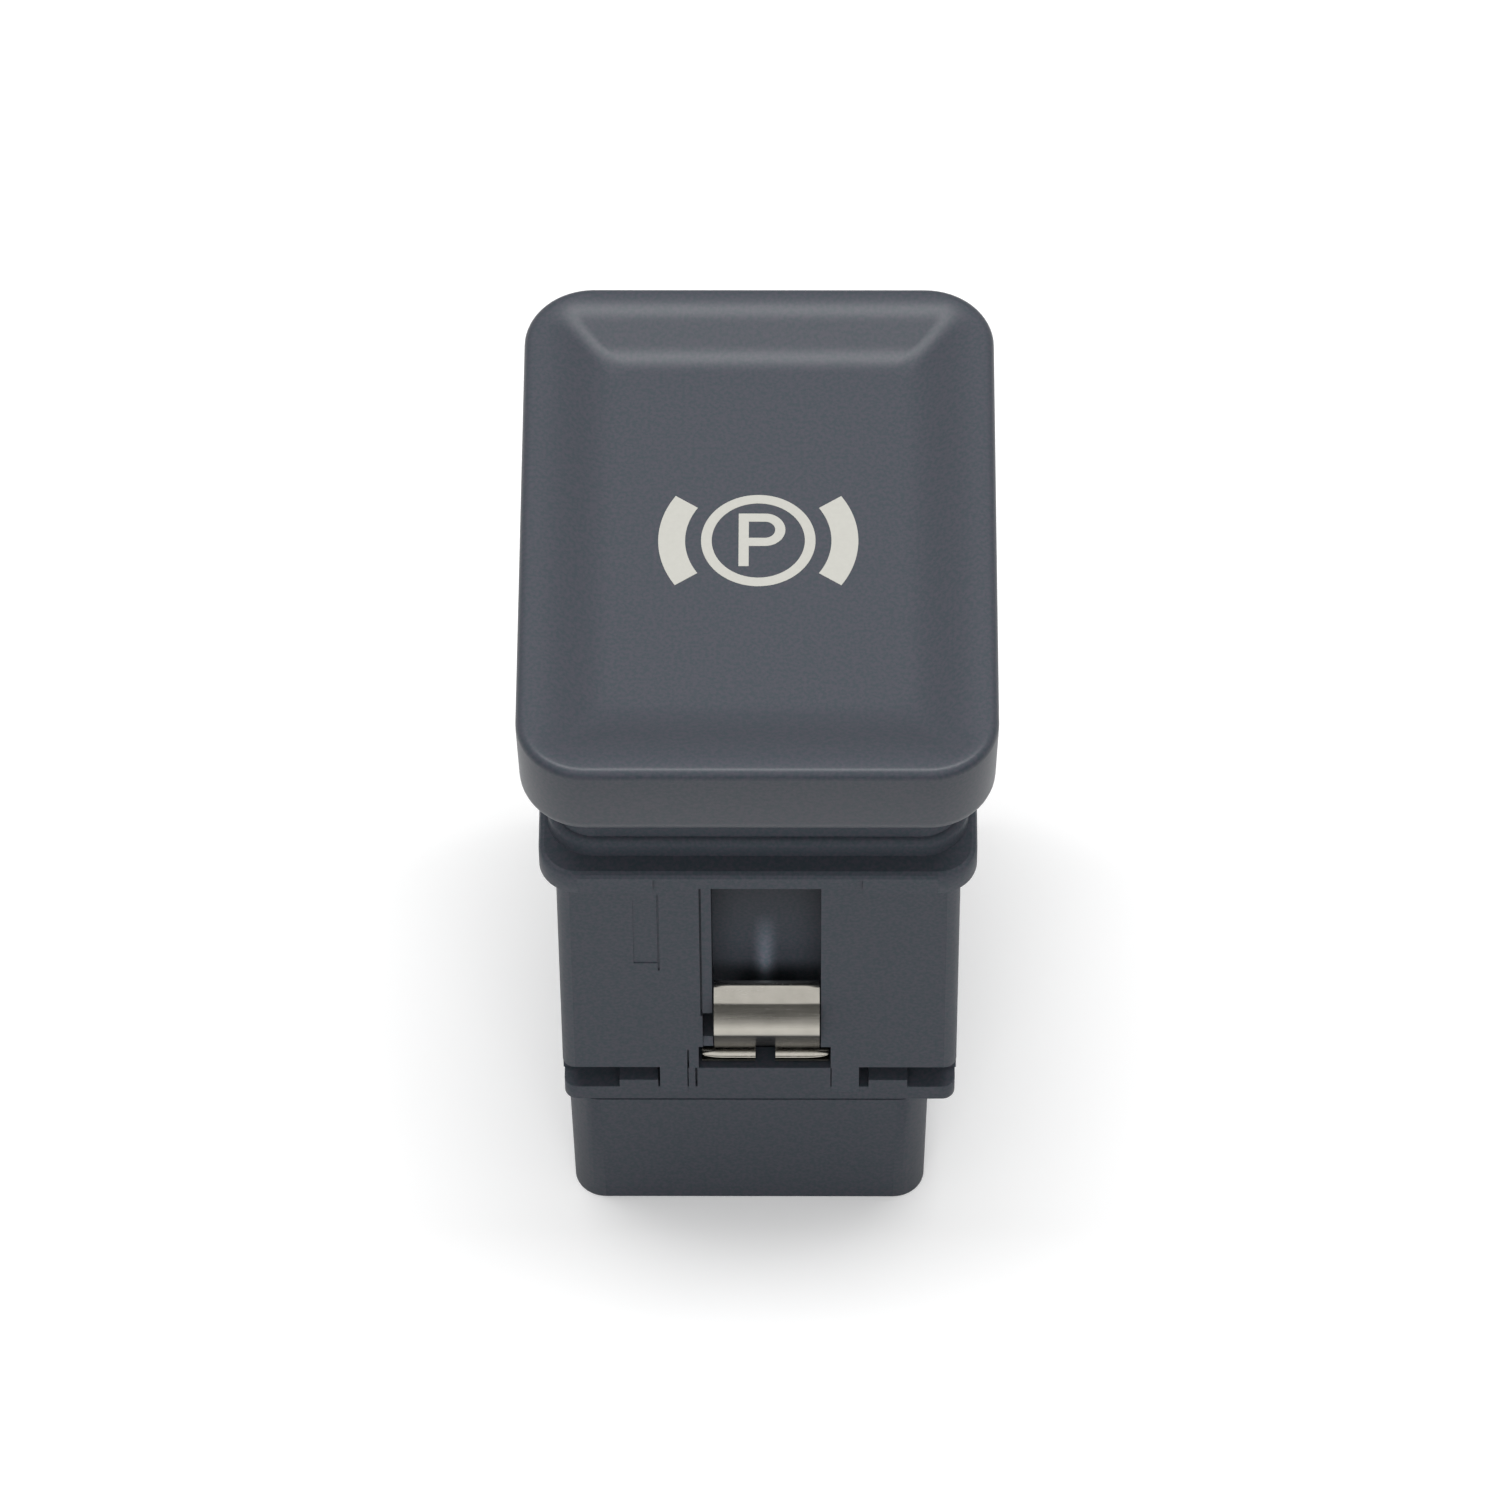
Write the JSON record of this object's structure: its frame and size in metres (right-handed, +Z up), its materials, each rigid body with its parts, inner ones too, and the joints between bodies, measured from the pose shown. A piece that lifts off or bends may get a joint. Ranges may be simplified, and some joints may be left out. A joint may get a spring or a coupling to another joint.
{
  "type": "electric parking brake switch",
  "caption": "Vehicle push switch for an electric parking brake: dished rectangular button on a clip-in housing with a panel flange and a connector shroud below.",
  "frame": {"origin": "centre of the button's plan, at the height of the connector shroud's mouth, on which the part stands", "axes": "+Z up, towards the button's face and against the press; -Y out of the front wall with its retaining clip; +X to the right seen from the front"},
  "size_m": [0.029, 0.0374, 0.0505],
  "materials": {
    "cap_plastic": "satin, fine grained, dark blue-grey",
    "housing_plastic": "fine eroded texture, dark blue-grey",
    "base_plastic": "fine eroded texture, dark blue-grey",
    "inner_plastic": "as moulded, black",
    "clear_plastic": "polished, clear",
    "board_laminate": "green solder mask",
    "spring_steel": "bright rolled strip",
    "spring_wire": "drawn wire",
    "switch_plastic": "as moulded, black",
    "switch_button_plastic": "as moulded, ivory",
    "lamp_body": "white, glossy",
    "chip_body": "black, fired",
    "pin_plating": "bright tin plate"
  },
  "bodies": {
    "base": {"housing": "housing_plastic", "connector_base": "base_plastic", "circuit_board": "board_laminate", "left_switch_body": "switch_plastic", "right_switch_body": "switch_plastic", "front_return_spring": "spring_wire", "rear_return_spring": "spring_wire", "backlight_lamp": "lamp_body", "status_lamp": "lamp_body", "chip_resistors": "chip_body", "protection_diodes": "chip_body", "terminal_pin_01": "pin_plating", "terminal_pin_02": "pin_plating", "terminal_pin_03": "pin_plating", "terminal_pin_04": "pin_plating", "terminal_pin_05": "pin_plating", "terminal_pin_06": "pin_plating", "terminal_pin_07": "pin_plating", "terminal_pin_08": "pin_plating", "terminal_pin_09": "pin_plating", "terminal_pin_10": "pin_plating"},
    "button": {"button_cap": "cap_plastic", "plunger": "inner_plastic", "light_guide": "clear_plastic"},
    "left_switch": {"left_switch_button": "switch_button_plastic"},
    "right_switch": {"right_switch_button": "switch_button_plastic"},
    "front_spring_clip": {"front_clip": "spring_steel"},
    "rear_spring_clip": {"rear_clip": "spring_steel"}
  },
  "joints": [
    {"name": "button_press", "type": "slide", "parent": "base", "child": "button", "axis": [0, 0, -1], "range_m": [0, 0.0018], "stiffness_N_per_m": 900, "springref_m": -0.003, "deforming": ["front_return_spring", "rear_return_spring"]},
    {"name": "left_switch_press", "type": "slide", "parent": "base", "child": "left_switch", "axis": [0, 0, -1], "range_m": [0, 0.0018], "stiffness_N_per_m": 100, "springref_m": -0.002},
    {"name": "right_switch_press", "type": "slide", "parent": "base", "child": "right_switch", "axis": [0, 0, -1], "range_m": [0, 0.0018], "stiffness_N_per_m": 100, "springref_m": -0.002},
    {"name": "front_clip_flex", "type": "hinge", "parent": "base", "child": "front_spring_clip", "pos_m": [0, -0.0134, 0.01455], "axis": [-1, 0, 0], "range_deg": [0, 7], "stiffness_Nm_per_rad": 0.1, "springref_deg": -5.73},
    {"name": "rear_clip_flex", "type": "hinge", "parent": "base", "child": "rear_spring_clip", "pos_m": [0, 0.0134, 0.01455], "axis": [1, 0, 0], "range_deg": [0, 7], "stiffness_Nm_per_rad": 0.1, "springref_deg": -5.73}
  ],
  "couplings": [
    {"joint": "left_switch_press", "follows": "button_press", "ratio": 1},
    {"joint": "right_switch_press", "follows": "button_press", "ratio": 1}
  ]
}
